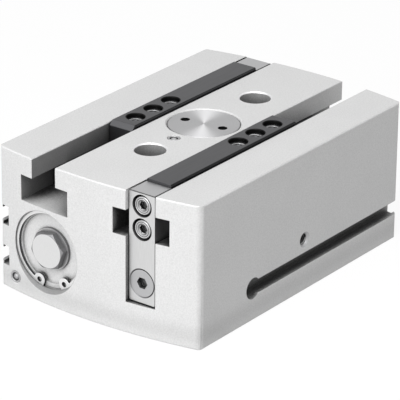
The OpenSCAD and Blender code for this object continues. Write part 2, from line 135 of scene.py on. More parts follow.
# 1 where the background is seen, straight or in a reflection, and 0 where it only lights a matt surface
def seenRay(tree):
    path = addNode(tree, "ShaderNodeLightPath")
    either = addNode(tree, "ShaderNodeMath", {"operation": "MAXIMUM"},
                     _0=path.outputs["Is Camera Ray"], _1=path.outputs["Is Glossy Ray"])
    return addNode(tree, "ShaderNodeMath", {"operation": "MAXIMUM"},
                   _0=either.outputs[0], _1=path.outputs["Is Transmission Ray"]).outputs[0]


def addWorld(look):
    world = bpy.data.worlds.new("studio")
    bpy.context.scene.world = world
    world.use_nodes = True
    tree = world.node_tree
    tree.nodes.clear()
    strength = addNode(tree, "ShaderNodeMapRange", {"To Min": look["fill"], "To Max": 1},
                       Value=seenRay(tree))
    light = addNode(tree, "ShaderNodeBackground", {"Color": toLinear(look["white"])},
                    Strength=strength.outputs[0])
    addNode(tree, "ShaderNodeOutputWorld", Surface=light.outputs[0])


def addFloor(look):
    bpy.ops.mesh.primitive_plane_add(size=look["floor"], location=(0, 0, 0))
    floor = bpy.context.object
    floor.name = "floor"
    material = bpy.data.materials.new("studio paper")
    material.use_nodes = True
    tree = material.node_tree
    tree.nodes.clear()
    seen = seenRay(tree)
    paper, white = toLinear(look["paper"]), toLinear(look["white"])
    tint = addNode(tree, "ShaderNodeMix", {"data_type": "RGBA", 6: paper, 7: white}, _0=seen)
    matt = addNode(tree, "ShaderNodeBsdfDiffuse", None, Color=tint.outputs[2])
    glow = addNode(tree, "ShaderNodeEmission", {"Color": white})
    share = addNode(tree, "ShaderNodeMapRange", {"To Min": 0, "To Max": look["lift"]}, Value=seen)
    both = addNode(tree, "ShaderNodeMixShader", None,
                   _0=share.outputs[0], _1=matt.outputs[0], _2=glow.outputs[0])
    addNode(tree, "ShaderNodeOutputMaterial", Surface=both.outputs[0])
    floor.data.materials.append(material)


addWorld(stageLook)
addFloor(stageLook)
for lampRow in stageLook["lamps"]:
    addLamp(*lampRow)
print("stage lit")


def startFinish(name, hexColour, metallic, roughness):
    material = bpy.data.materials.new(name)
    material.use_nodes = True
    tree = material.node_tree
    tree.nodes.clear()
    shader = addNode(tree, "ShaderNodeBsdfPrincipled",
                     {"Base Color": toLinear(hexColour), "Metallic": metallic, "Roughness": roughness})
    addNode(tree, "ShaderNodeOutputMaterial", Surface=shader.outputs[0])
    return material, tree, shader


# Settings of a map range that spread a noise pattern, mostly between 0.3 and 0.7, over two levels
def noiseTo(levels):
    return {"From Min": 0.3, "From Max": 0.7, "To Min": levels[0], "To Max": levels[1]}


# Settings of a mix that darkens a colour by a pattern
def multiplied(hexColour):
    return {"data_type": "RGBA", "blend_type": "MULTIPLY", 0: 1.0, 6: toLinear(hexColour)}


# Settings of a bump, from its strength and its height in mm
def bumpOf(strength, height):
    return {"Strength": strength, "Distance": height * mm}


cornerShading = {                 # how the painted shade lies in the corners
    "samples": 8,
    "wiped": (2, 10),        # mm above the table: below the first the painted shade is mostly left out, above the second it is full
    "wipedShare": 0.1,       # how much of the painted shade is kept below the first
    # the painted shade is a little stronger between the grains and weaker on them, so it shows them up
    "patches": (1.05, 0.94),
}


# Mixes a finish with painted shade: a dark colour laid by ambient occlusion where surfaces close in on each
# other.
# The painted shade fades out over the lowest millimetres, so the table the object stands on doesn't count as
# a corner.
def paintCornerShade(tree, unshadedColour, dirt, reach, closed, clear, grain=None):
    nearness = addNode(tree, "ShaderNodeAmbientOcclusion",
                       {"samples": cornerShading["samples"], "Distance": reach * mm})
    inCorner = addNode(tree, "ShaderNodeMapRange",
                      {"From Min": closed, "From Max": clear, "To Min": 1, "To Max": 0},
                      Value=nearness.outputs["AO"])
    place = addNode(tree, "ShaderNodeTexCoord").outputs["Object"]
    height = addNode(tree, "ShaderNodeSeparateXYZ", None, Vector=place).outputs["Z"]
    low, high = [edge * mm for edge in cornerShading["wiped"]]
    wiped = addNode(tree, "ShaderNodeMapRange",
                    {"From Min": low, "From Max": high, "To Min": cornerShading["wipedShare"], "To Max": 1},
                    Value=height)
    amount = addNode(tree, "ShaderNodeMath", {"operation": "MULTIPLY"},
                     _0=inCorner.outputs[0], _1=wiped.outputs[0])
    if grain:
        patchy = addNode(tree, "ShaderNodeMapRange", noiseTo(cornerShading["patches"]), Value=grain)
        amount = addNode(tree, "ShaderNodeMath", {"operation": "MULTIPLY", "use_clamp": True},
                         _0=amount.outputs[0], _1=patchy.outputs[0])
    return addNode(tree, "ShaderNodeMix", {"data_type": "RGBA", 7: toLinear(dirt)},
                   _0=amount.outputs[0], _6=unshadedColour).outputs[2]


blasting = {
    "metallic": 0.2,
    "roughness": 0.55,
    "grain": 0.55,                   # mm; real grit marks are finer, drawn as coarse as they need to show
    "grainTone": (0.91, 1.06),
    "grainRoughness": (0.5, 0.62),
    "bump": (0.25, 0.02),            # strength, and height in mm
    "cloud": 14,                     # mm, the slow unevenness of the anodising
    "cloudTone": (0.985, 1.01),
    # the colour of the painted shade in corners, slots and bores
    "dirt": "#1E1E1E",
}


# Fine blasted, clear anodised aluminium: pale, matt and even, with a fine sparkle of grain.
# Its slots and bores get painted shade, so they are much darker than the outside.
def blastedAluminium(name, hexColour, reach, closed, clear):
    material, tree, shader = startFinish(name, hexColour, blasting["metallic"], blasting["roughness"])
    place = addNode(tree, "ShaderNodeTexCoord").outputs["Object"]
    grain, cloud = [addNode(tree, "ShaderNodeTexNoise", {"Scale": 1 / (blasting[width] * mm), "Detail": 2},
                            Vector=place).outputs[0] for width in ("grain", "cloud")]
    tone = addNode(tree, "ShaderNodeMapRange", noiseTo(blasting["grainTone"]), Value=grain)
    soft = addNode(tree, "ShaderNodeMapRange", noiseTo(blasting["cloudTone"]), Value=cloud)
    shade = addNode(tree, "ShaderNodeMath", {"operation": "MULTIPLY"},
                    _0=tone.outputs[0], _1=soft.outputs[0])
    unshaded = addNode(tree, "ShaderNodeMix", multiplied(hexColour), _7=shade.outputs[0])
    colour = paintCornerShade(tree, unshaded.outputs[2], blasting["dirt"], reach, closed, clear, grain)
    tree.links.new(colour, shader.inputs["Base Color"])
    rough = addNode(tree, "ShaderNodeMapRange", noiseTo(blasting["grainRoughness"]), Value=grain)
    tree.links.new(rough.outputs[0], shader.inputs["Roughness"])
    bump = addNode(tree, "ShaderNodeBump", bumpOf(*blasting["bump"]), Height=grain)
    tree.links.new(bump.outputs[0], shader.inputs["Normal"])
    return material


# A ground metal: fine lines that lie along the axis whose scale is small, and painted shade in its corners
def groundMetal(name, look):
    material, tree, shader = startFinish(name, look["colour"], 1.0, look["roughness"])
    place = addNode(tree, "ShaderNodeTexCoord").outputs["Object"]
    stretch = addNode(tree, "ShaderNodeMapping", {"Scale": look["stretch"]}, Vector=place)
    lines = addNode(tree, "ShaderNodeTexNoise", {"Scale": 1 / (look["lines"] * mm), "Detail": 3},
                    Vector=stretch.outputs[0])
    tone = addNode(tree, "ShaderNodeMapRange", noiseTo(look["tone"]), Value=lines.outputs[0])
    unshaded = addNode(tree, "ShaderNodeMix", multiplied(look["colour"]), _7=tone.outputs[0])
    colour = paintCornerShade(tree, unshaded.outputs[2], look["dirt"], look["reach"], look["closed"], look["clear"])
    tree.links.new(colour, shader.inputs["Base Color"])
    bump = addNode(tree, "ShaderNodeBump", bumpOf(*look["bump"]), Height=lines.outputs[0])
    tree.links.new(bump.outputs[0], shader.inputs["Normal"])
    return material


oxide = {
    "colour": "#505052",
    "roughness": 0.42,
    "stretch": (0.04, 1, 1),         # ground along X
    "lines": 0.35,                   # mm apart, several real grinding lines to one, so that they show
    "tone": (0.88, 1.06),
    "bump": (0.2, 0.01),
    # the colour of the painted shade in corners and bores
    "dirt": "#0E0E0E",
    "reach": 3,
    "closed": 0.1,
    "clear": 0.6,
}
plating = {
    "lines": 0.25,                   # mm apart, several real polishing lines to one, so that they show
    "tone": (0.95, 1.02),
    "bump": (0.15, 0.01),
    "fade": 0.45,                    # from where the painted shade is full to where there is none
}
linesUpright = (1, 1, 0.06)          # how the lines' pattern is stretched along X, Y and Z
linesNoWay = (1, 1, 1)


# Hardened steel with black oxide: dark grey and satin, with faint lines along the travel
def blackOxide():
    return groundMetal("black oxide steel", oxide)


# Bright plated or machined steel: pale and satin, with faint lines, and painted shade where it is boxed in
def platedSteel(name, hexColour, roughness, stretch=linesNoWay, reach=4, closed=0.3, dirt="#161616"):
    return groundMetal(name, {**plating, "colour": hexColour, "roughness": roughness, "stretch": stretch,
                              "reach": reach, "closed": closed, "clear": closed + plating["fade"],
                              "dirt": dirt})


mattShadeLook = {
    "colour": "#4C4C4C",
    "roughness": 0.65,
    "flakes": 0.4,                   # mm across
    "tone": (0.8, 1.15),
}


# A dull dark grey matt finish, painted on the bar chamfers and the screw-head steps as shade
def mattShade():
    material, tree, shader = startFinish("mill skin", mattShadeLook["colour"], 0.0, mattShadeLook["roughness"])
    place = addNode(tree, "ShaderNodeTexCoord").outputs["Object"]
    flakes = addNode(tree, "ShaderNodeTexNoise", {"Scale": 1 / (mattShadeLook["flakes"] * mm), "Detail": 3},
                     Vector=place)
    tone = addNode(tree, "ShaderNodeMapRange", noiseTo(mattShadeLook["tone"]), Value=flakes.outputs[0])
    colour = addNode(tree, "ShaderNodeMix", multiplied(mattShadeLook["colour"]), _7=tone.outputs[0])
    tree.links.new(colour.outputs[2], shader.inputs["Base Color"])
    return material


turning = {
    "roughness": 0.5,
    "anisotropy": 0.85,
    "turn": 0.25,                    # lays the highlight wide across the rings
    "rings": 0.4935,                 # mm apart, a few real tool marks to one, so that they show
    "wander": 0.3,                   # how far the rings stray from true
    "tone": (0.93, 1.02),
    "bump": (0.15, 0.01),
    # the colour of the painted shade in its corners
    "dirt": "#141414",
    "reach": 2,
    "closed": 0.2,
    "clear": 0.7,
}


# Face-turned aluminium: fine rings that throw a bow-tie highlight across the middle, and painted shade in its
# corners
def turnedAluminium(name, hexColour, axis):
    material, tree, shader = startFinish(name, hexColour, 1.0, turning["roughness"])
    shader.inputs["Anisotropic"].default_value = turning["anisotropy"]
    shader.inputs["Anisotropic Rotation"].default_value = turning["turn"]
    place = addNode(tree, "ShaderNodeTexCoord").outputs["Object"]
    ringScale = pi / 10 / (turning["rings"] * mm)      # a wave of scale 1 repeats every pi / 10
    rings = addNode(tree, "ShaderNodeTexWave", {"wave_type": "RINGS", "rings_direction": axis,
                                                "Scale": ringScale, "Distortion": turning["wander"]},
                    Vector=place)
    low, high = turning["tone"]
    tone = addNode(tree, "ShaderNodeMapRange", {"To Min": low, "To Max": high}, Value=rings.outputs[0])
    unshaded = addNode(tree, "ShaderNodeMix", multiplied(hexColour), _7=tone.outputs[0])
    colour = paintCornerShade(tree, unshaded.outputs[2], *[turning[k] for k in ("dirt", "reach", "closed", "clear")])
    tree.links.new(colour, shader.inputs["Base Color"])
    tangent = addNode(tree, "ShaderNodeTangent", {"direction_type": "RADIAL", "axis": axis})
    tree.links.new(tangent.outputs[0], shader.inputs["Tangent"])
    bump = addNode(tree, "ShaderNodeBump", bumpOf(*turning["bump"]), Height=rings.outputs[0])
    tree.links.new(bump.outputs[0], shader.inputs["Normal"])
    return material


moulding = {
    "colour": "#161616",
    "roughness": 0.55,
    "dust": 0.8,                     # mm across a patch
    "dustRoughness": (0.48, 0.66),
}


# Moulded nitrile rubber: black and slightly dusty
def nitrileRubber():
    material, tree, shader = startFinish("nitrile rubber", moulding["colour"], 0.0, moulding["roughness"])
    place = addNode(tree, "ShaderNodeTexCoord").outputs["Object"]
    dust = addNode(tree, "ShaderNodeTexNoise", {"Scale": 1 / (moulding["dust"] * mm), "Detail": 3},
                   Vector=place)
    rough = addNode(tree, "ShaderNodeMapRange", noiseTo(moulding["dustRoughness"]), Value=dust.outputs[0])
    tree.links.new(rough.outputs[0], shader.inputs["Roughness"])
    return material


sintering = {
    "colour": "#A98452",
    "roughness": 0.45,
    "pores": 0.3,                    # mm apart
    "bump": (0.3, 0.02),
}


# Sintered bronze: warm, dull, with fine pores
def sinteredBronze():
    material, tree, shader = startFinish("sintered bronze", sintering["colour"], 1.0,
                                         sintering["roughness"])
    place = addNode(tree, "ShaderNodeTexCoord").outputs["Object"]
    pores = addNode(tree, "ShaderNodeTexVoronoi", {"Scale": 1 / (sintering["pores"] * mm)}, Vector=place)
    bump = addNode(tree, "ShaderNodeBump", bumpOf(*sintering["bump"]), Height=pores.outputs[0])
    tree.links.new(bump.outputs[0], shader.inputs["Normal"])
    return material


finishes = {
    # pale outside with a fine sparkle, greyed by painted shade in its corners
    "housing_alloy": blastedAluminium("blasted anodised aluminium", "#D2D2D2", 14, 0.36, 0.88),
    # a shade paler than the housing, with soft painted shade round its edge
    "cap_alloy": blastedAluminium("turned anodised aluminium", "#D8D8D8", 4, 0.32, 0.8),
    # given less painted shade than the rest of the slot, so it stays pale where the rest is painted dark
    "swept_wall": blastedAluminium("swept slot wall", "#D2D2D2", 14, -0.05, 0.58),
    # painted an even mid grey as shade
    "slot_flank": blastedAluminium("oiled slot flank", "#8C8C8C", 14, 0.1, 0.7),
    "seat_wall": blastedAluminium("oiled seat wall", "#969696", 4, 0.35, 0.95),
    # painted greyer than the outside as shade, and darker still deep down by painted shade
    "bored_alloy": blastedAluminium("bored aluminium", "#A0A0A0", 14, 0.1, 0.55),
    # bright rings round the mounting holes, quieter ones round the ports
    "fresh_chamfer": platedSteel("bright turned chamfer", "#DEDEDF", 0.5, reach=1, closed=0.1),
    "port_chamfer": platedSteel("turned port chamfer", "#ACACAD", 0.5, reach=1, closed=0.1),
    # the spanner holes: walls painted dark grey as shade, with a sheen
    "reamed_alloy": platedSteel("reamed aluminium", "#4E4E4F", 0.3, linesUpright, 2.5, 0.1),

    # the slides: nearly black and satin, a lighter bevel where they were ground, chamfers and bores painted
    # darker as shade
    "slide_steel": blackOxide(),
    "ground_bevel": platedSteel("ground bevel", "#5F5F61", 0.42, linesUpright),
    "dark_chamfer": platedSteel("oxide-dark chamfer", "#2C2C2D", 0.5, linesUpright),
    "oily_bore": platedSteel("oiled counterbore wall", "#1E1E1E", 0.5, reach=2),
    "seat_cut": platedSteel("freshly counterbored steel", "#BEBEBF", 0.4, reach=0.5, closed=0.1),

    # the driver bars: bright satin faces, a top painted duller as shade, holes painted dull grey as shade and
    # chamfers painted dark as shade
    "bar_steel": platedSteel("ground nickel-plated steel", "#CCCCCC", 0.45, linesUpright),
    "bar_top": platedSteel("milled bar top", "#B0B0B1", 0.5, linesUpright),
    "bored_steel": platedSteel("bored steel", "#858586", 0.6, reach=1.5, closed=0.1),
    "bar_skin": mattShade(),

    # fasteners and plugs: silvery, with soft grey painted shade in their corners
    "screw_steel": platedSteel("zinc-plated steel", "#C6C6C7", 0.4, reach=3, closed=0.42, dirt="#3A3A3A"),
    "sunk_screw": platedSteel("worn zinc-plated steel", "#B6B6B7", 0.42, reach=3, closed=0.42,
                              dirt="#3A3A3A"),
    "stop_steel": platedSteel("turned nickel-plated steel", "#D8D8D8", 0.42, reach=6, closed=0.4,
                              dirt="#5A5A5A"),
    "plug_steel": platedSteel("plug steel", "#A8A8A9", 0.6, reach=1.2, closed=0.25, dirt="#3C3C3C"),
    # the rings are white on their flats, and their edges are painted dark as shade
    "circlip_steel": platedSteel("zinc-plated spring steel", "#E4E4E4", 0.4, reach=1.6, closed=0.05),
    "sheared_edge": platedSteel("sheared ring edge", "#565657", 0.55, reach=3),

    # turned covers and pistons, and what works inside
    "cover_alloy": turnedAluminium("turned aluminium", "#B9B9BA", "Z"),
    "piston_alloy": turnedAluminium("turned piston aluminium", "#C9C9CB", "X"),
    "rod_steel": platedSteel("hard chrome", "#D5D6D8", 0.14, linesUpright),
    "gear_steel": platedSteel("hobbed steel", "#8C8D90", 0.32, linesUpright),
    "magnet": platedSteel("bonded magnet", "#3A3A3C", 0.5),
    "seal_rubber": nitrileRubber(),
    "bush_bronze": sinteredBronze(),
}
print("finishes made")


def addPiece(name, mesh):
    piece = bpy.data.objects.new(name, mesh)
    bpy.context.scene.collection.objects.link(piece)
    return piece


facing = {                   # how much of a face's normal lies along an axis
    "straight": 0.99,        # from here the face looks straight along it
    "flat": 0.97,            # from here it belongs to a flat
    "cone": 0.95,            # below here it belongs to a cone or an edge
    "wall": 0.3,             # below here it belongs to a wall that runs along the axis
    "leaning": 0.15,         # from here a chamfer's face has left the wall beside it
}


# Gives faces of a piece other finishes: choose takes a face and returns one of the names, or None
def refinish(piece, names, choose):
    for name in names:
        piece.data.materials.append(finishes[name])
    for polygon in piece.data.polygons:
        name = choose(polygon)
        polygon.material_index = names.index(name) + 1 if name else 0


# Where a row of parallel axes runs along X, tells how far a point is from the nearest one
def fromAxis(point, axes):
    return min(sqrt((point.y - y) ** 2 + (point.z - z) ** 2) for y, z in axes)


skinWork = {
    "mergeWithin": 0.0005,   # mm
    "flatWithin": 0.3,       # degrees between faces that count as one
    "sharpFrom": 28,         # degrees between faces, from which the edge between them is broken
    "foldBelow": 40,         # degrees between two edges, below which a break would fold
    "breakSegments": 2,
}
edgeBreaks = {               # how far the edges of each kind of piece are broken, in mm
    "housing": 0.12, "jaw_slide": 0.12, "driver_bar": 0, "jaw_screws": 0.05, "rod_screw": 0.05,
    "end_cap": 0.1, "circlip": 0.1, "stop_screw": 0.08, "pinion_cover": 0.06,
}


# Copies a node's shape, joins its faces into one skin and breaks its sharp edges.
# Edges that run together at a narrow angle stay as they are, because a break would fold there.
def roundedPiece(name, node, edge):
    sharp, narrow = radians(skinWork["sharpFrom"]), radians(skinWork["foldBelow"])
    skin = bmesh.new()
    skin.from_mesh(frame["nodes"][node].data)
    bmesh.ops.remove_doubles(skin, verts=skin.verts, dist=skinWork["mergeWithin"] * mm)
    bmesh.ops.dissolve_limit(skin, angle_limit=radians(skinWork["flatWithin"]), verts=skin.verts,
                             edges=skin.edges)
    corners = [e for e in skin.edges if len(e.link_faces) == 2 and e.calc_face_angle(0) > sharp]
    known = set(corners)
    folded = set()
    for vert in skin.verts:
        arms = [(e.other_vert(vert).co - vert.co).normalized() for e in vert.link_edges if e in known]
        if any(a.angle(b) < narrow for i, a in enumerate(arms) for b in arms[:i]):
            folded.add(vert)
    corners = [e for e in corners if not folded.intersection(e.verts)]
    if edge > 0:
        bmesh.ops.bevel(skin, geom=corners, offset=edge, offset_type="OFFSET",
                        segments=skinWork["breakSegments"], profile=0.5, affect="EDGES",
                        clamp_overlap=False)
    mesh = bpy.data.meshes.new(name)
    skin.to_mesh(mesh)
    skin.free()
    mesh.shade_smooth()
    mesh.set_sharp_from_angle(angle=sharp)
    piece = addPiece(name, mesh)
    weight = piece.modifiers.new("even shading", "WEIGHTED_NORMAL")
    weight.weight, weight.keep_sharp = 100, True
    mesh.materials.append(finishes[nodeSlot[node]])
    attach(piece, nodeBody[node])
    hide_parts(node)
    return piece


pieces = {}
for node in sorted(frame["nodes"]):
    kind = node.replace("rear_", "").replace("front_", "")
    if kind in edgeBreaks:
        pieces[node] = roundedPiece(node + "_finished", node, edgeBreaks[kind] * mm)
    else:
        for slot in frame["nodes"][node].material_slots:
            slot.material = finishes[nodeSlot[node]]
print("edges broken")


driverBar = {                # ground bright; chamfers and bores are painted darker as shade, mm
    "frontChamfer": 0.35,
    "headAxis": 3.5,         # from the end of the pair of heads to the axis of each
    "headBore": 4.3,         # radius round a head's axis that takes in its counterbore
    "sink": 5.65,            # radius round the countersunk screw that takes in its seat
    "touching": 0.01,
    "evenLean": 0.2,         # two parts of a chamfer's normal differ by less than this
    "noLean": 0.1,           # and its third is smaller than this
}


def dressDriverBar(piece, node, headAxes, sinkAxis):
    touching = driverBar["touching"] * mm
    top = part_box(node)[1].z
    skin = bmesh.new()
    skin.from_mesh(piece.data)
    tip = max(abs(vert.co.x) for vert in skin.verts)
    front = [e for e in skin.edges
             if all(abs(v.co.x) > tip - touching and v.co.z > top - touching for v in e.verts)]
    bmesh.ops.bevel(skin, geom=front, offset=driverBar["frontChamfer"] * mm, offset_type="OFFSET",
                    segments=1, profile=0.5, affect="EDGES", clamp_overlap=False)
    skin.to_mesh(piece.data)
    skin.free()
    piece.modifiers.clear()

    def isBored(polygon):
        return abs(polygon.normal.x) < facing["flat"] and (
            fromAxis(polygon.center, headAxes) < driverBar["headBore"] * mm
            or fromAxis(polygon.center, [sinkAxis]) < driverBar["sink"] * mm)

    def choose(polygon):
        least, middle, most = sorted(abs(part) for part in polygon.normal)
        if isBored(polygon):
            return "bored_steel"
        if most - middle < driverBar["evenLean"] and least < driverBar["noLean"]:
            return "bar_skin"
        # the top is painted duller than the ground faces, as shade
        return "bar_top" if polygon.normal.z > facing["flat"] else None

    refinish(piece, ["bar_skin", "bored_steel", "bar_top"], choose)
    for polygon in piece.data.polygons:
        polygon.use_smooth = isBored(polygon)


screwHead = {                # turned step inside the rim of each head, mm
    "rim": 0.3,
    "step": 0.14,
    "stepDepth": 0.14,
    "stepFrom": 2.4,         # radius between the socket and the step
    "face": 0.02,            # what counts as the end face of a head
    "smoothBelow": 25,       # degrees
}


def dressScrews(piece, axes):
    stepRing, socketCone = 1, 2            # places in the piece's list of finishes: the step ring is painted dark and the socket's cone mid grey, as shade
    stepFrom = screwHead["stepFrom"] * mm
    skin = bmesh.new()
    skin.from_mesh(piece.data)
    tip = max(abs(vert.co.x) for vert in skin.verts) - screwHead["face"] * mm
    faces = [f for f in skin.faces if abs(f.normal.x) > facing["straight"] and abs(f.verts[0].co.x) > tip]
    bmesh.ops.inset_region(skin, faces=faces, thickness=screwHead["rim"] * mm, depth=0,
                           use_boundary=True, use_even_offset=True)
    step = bmesh.ops.inset_region(skin, faces=faces, thickness=screwHead["step"] * mm,
                                  depth=-screwHead["stepDepth"] * mm, use_boundary=True,
                                  use_even_offset=True)["faces"]
    for face in step:
        if fromAxis(face.calc_center_median(), axes) > stepFrom:
            face.material_index = stepRing
    for face in skin.faces:
        isCone = facing["wall"] < abs(face.normal.x) < facing["cone"]
        if isCone and fromAxis(face.calc_center_median(), axes) < stepFrom:
            face.material_index = socketCone
    skin.to_mesh(piece.data)
    skin.free()
    piece.data.set_sharp_from_angle(angle=radians(screwHead["smoothBelow"]))
    piece.data.materials.append(finishes["bar_skin"])
    piece.data.materials.append(finishes["bored_steel"])


rodScrew = {                 # countersunk head, mm
    "rim": 5.2,              # what stands further out than this
    "narrowed": 5.05,        # is drawn in to this, which opens a thin dark ring round the head
    "rimDepth": 0.2,
}


def dressRodScrew(piece, node, axis):
    low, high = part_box(node)
    tip = max(abs(low.x), abs(high.x))
    piece.data.materials[0] = finishes["sunk_screw"]
    for vert in piece.data.vertices:
        out = Vector((0, vert.co.y - axis[0], vert.co.z - axis[1]))
        if out.length > rodScrew["rim"] * mm and abs(vert.co.x) > tip - rodScrew["rimDepth"] * mm:
            vert.co += out.normalized() * (rodScrew["narrowed"] * mm - out.length)


for side in sides:
    low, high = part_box(side + "_jaw_screws")
    axisY, inset = (low.y + high.y) / 2, driverBar["headAxis"] * mm
    headAxes = [(axisY, low.z + inset), (axisY, high.z - inset)]
    low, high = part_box(side + "_rod_screw")
    sinkAxis = (axisY, (low.z + high.z) / 2)
    dressDriverBar(pieces[side + "_driver_bar"], side + "_driver_bar", headAxes, sinkAxis)
    dressScrews(pieces[side + "_jaw_screws"], headAxes)
    dressRodScrew(pieces[side + "_rod_screw"], side + "_rod_screw", sinkAxis)
print("driver bars and screws dressed")


fingerHole = {               # counterbored M5 holes in the slides, mm
    "seatDepth": 1.6,
    "drill": 2.1,
    "pitch": 0.8,
    "threadDepth": 0.28,
    "threadLength": 8.2,
    "countersink": 0.45,
    "mouth": 2.4,            # radius that takes in the mouth of the thread
    "cut": 2.9,              # radius and depth below the seat that take in the countersink
    "cutDepth": 0.7,
    "wall": 3.9,             # radius and depth that take in the walls of the whole hole
    "depth": 12,
    "touching": 0.02,
}
airPort = {                  # M5 ports in the sides, mm
    "drill": 2.1,
    "pitch": 0.8,
    "threadDepth": 0.28,
    "threadLength": 6.4,
    "start": 1.0,
}
threadForm = {               # shares of the pitch, and how far the ridge runs into its wall in mm
    "foot": 0.44,
    "crest": 0.07,
    "bite": 0.02,
    "steps": 28,
    "smoothBelow": 30,       # degrees
}


# Turns a shape made upright at the origin so that it points outward from its place
def placedAt(place, outward):
    return Matrix.Translation(place) @ Vector((0, 0, 1)).rotation_difference(outward).to_matrix().to_4x4()


# A cut thread: a ridge of trapezoid section wound inside a hole, from its mouth inwards
def addThread(name, node, mouth, inward, size, start):
    pitch, drill = size["pitch"], size["drill"]
    wall, crest = drill + threadForm["bite"], drill - size["threadDepth"]
    foot, flat = threadForm["foot"] * pitch, threadForm["crest"] * pitch
    section = [(wall, -foot), (crest, -flat), (crest, flat), (wall, foot)]
    turns, steps = int(size["threadLength"] / pitch), threadForm["steps"]
    skin = bmesh.new()
    rows = []
    for i in range(turns * steps + 1):
        a, along = 2 * pi * i / steps, start + pitch * (0.5 + i / steps)
        rows.append([skin.verts.new((r * cos(a) * mm, r * sin(a) * mm, (along + h) * mm))
                     for r, h in section])
    for before, after in zip(rows, rows[1:]):
        for k in range(4):
            skin.faces.new((before[k], before[(k + 1) % 4], after[(k + 1) % 4], after[k]))
    skin.faces.new(rows[0])
    skin.faces.new(rows[-1][::-1])
    bmesh.ops.recalc_face_normals(skin, faces=skin.faces)
    mesh = bpy.data.meshes.new(name)
    skin.to_mesh(mesh)
    skin.free()
    mesh.transform(placedAt(mouth, inward))
    mesh.shade_smooth()
    mesh.set_sharp_from_angle(angle=radians(threadForm["smoothBelow"]))
    mesh.materials.append(finishes[nodeSlot[node]])
    piece = addPiece(name, mesh)
    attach(piece, nodeBody[node])


slideFace = {                # what tells a slide's bevel, chamfers and holes from its flats
    "upward": 0.9,           # from here a face beside a hole belongs to the flat round it
    "bevelLean": 0.3,
    "bevelArea": 4,          # mm2
    "chamferLean": 0.2,
}


# Widens the edge break at each thread's mouth to a countersink, and finishes the holes and edges, with the
# hole walls and chamfers painted darker as shade
def dressSlide(piece, centres):
    top = centres[0].z
    floorZ = top - fingerHole["seatDepth"] * mm
    drill, touching, edge = fingerHole["drill"] * mm, fingerHole["touching"] * mm, edgeBreaks["jaw_slide"]
    grow = fingerHole["countersink"] / edge
    for vert in piece.data.vertices:
        centre = min(centres, key=lambda c: (vert.co - c).xy.length)
        out = (vert.co - centre).xy
        if (out.length < fingerHole["mouth"] * mm
                and floorZ - edge * mm - touching < vert.co.z < floorZ + touching):
            out = out.normalized() * (drill + (out.length - drill) * grow)
            vert.co = (centre.x + out.x, centre.y + out.y, floorZ + (vert.co.z - floorZ) * grow)
    cutFrom, cutTo = floorZ - fingerHole["cutDepth"] * mm, floorZ - touching
    wallFrom = top - fingerHole["depth"] * mm

    def choose(polygon):
        middle, normal = polygon.center, polygon.normal
        near = min((middle - c).xy.length for c in centres)
        if near < fingerHole["cut"] * mm and cutFrom < middle.z < cutTo:
            return "seat_cut"
        if near < fingerHole["wall"] * mm and normal.z < slideFace["upward"] and middle.z > wallFrom:
            return "oily_bore"
        leans = min(normal.z, abs(normal.x)) > slideFace["bevelLean"]
        if leans and polygon.area > slideFace["bevelArea"] * mm * mm:
            return "ground_bevel"
        if slideFace["chamferLean"] < normal.z < facing["flat"] and abs(normal.y) > slideFace["chamferLean"]:
            return "dark_chamfer"

    refinish(piece, ["seat_cut", "oily_bore", "ground_bevel", "dark_chamfer"], choose)


for side, sign in sides.items():
    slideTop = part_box(side + "_jaw_slide")[1].z
    middle = Vector(mounts[side + "_finger_middle_screw"]["pos_m"])
    spacing = mounts[side + "_finger_screws"]["dims"]["spacing_x_mm"] / 2 * mm
    centres = [Vector((middle.x + i * spacing, middle.y, slideTop)) for i in (-1, 0, 1)]
    dressSlide(pieces[side + "_jaw_slide"], centres)
    for i, centre in enumerate(centres):
        addThread(f"{side}_finger_thread_{i + 1}", side + "_jaw_slide", centre, Vector((0, 0, -1)),
                  fingerHole, fingerHole["seatDepth"] + fingerHole["countersink"])
    port = Vector(mounts[side + "_air_port"]["pos_m"])
    port.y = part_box("housing")[1].y * sign
    addThread(side + "_port_thread", "housing", port, Vector((0, -sign, 0)), airPort, airPort["start"])
print("threads cut")


housingWalls = {             # how far from its axis a face still belongs to a hole, mm
    "mount": 7.2,
    "port": 3.8,
    "seatInside": 0.3,       # either side of an end cap's rim
    "seatOutside": 1.4,
    "chamferDepth": 2,
    "foot": 3,               # a slide's foot reaches at least this far under the middle block
    "mouthDepth": 8,         # the mouth of a slot lies within this of the top face
    "outer": 8,              # a slot's outer wall is at least this far from the housing's side
}


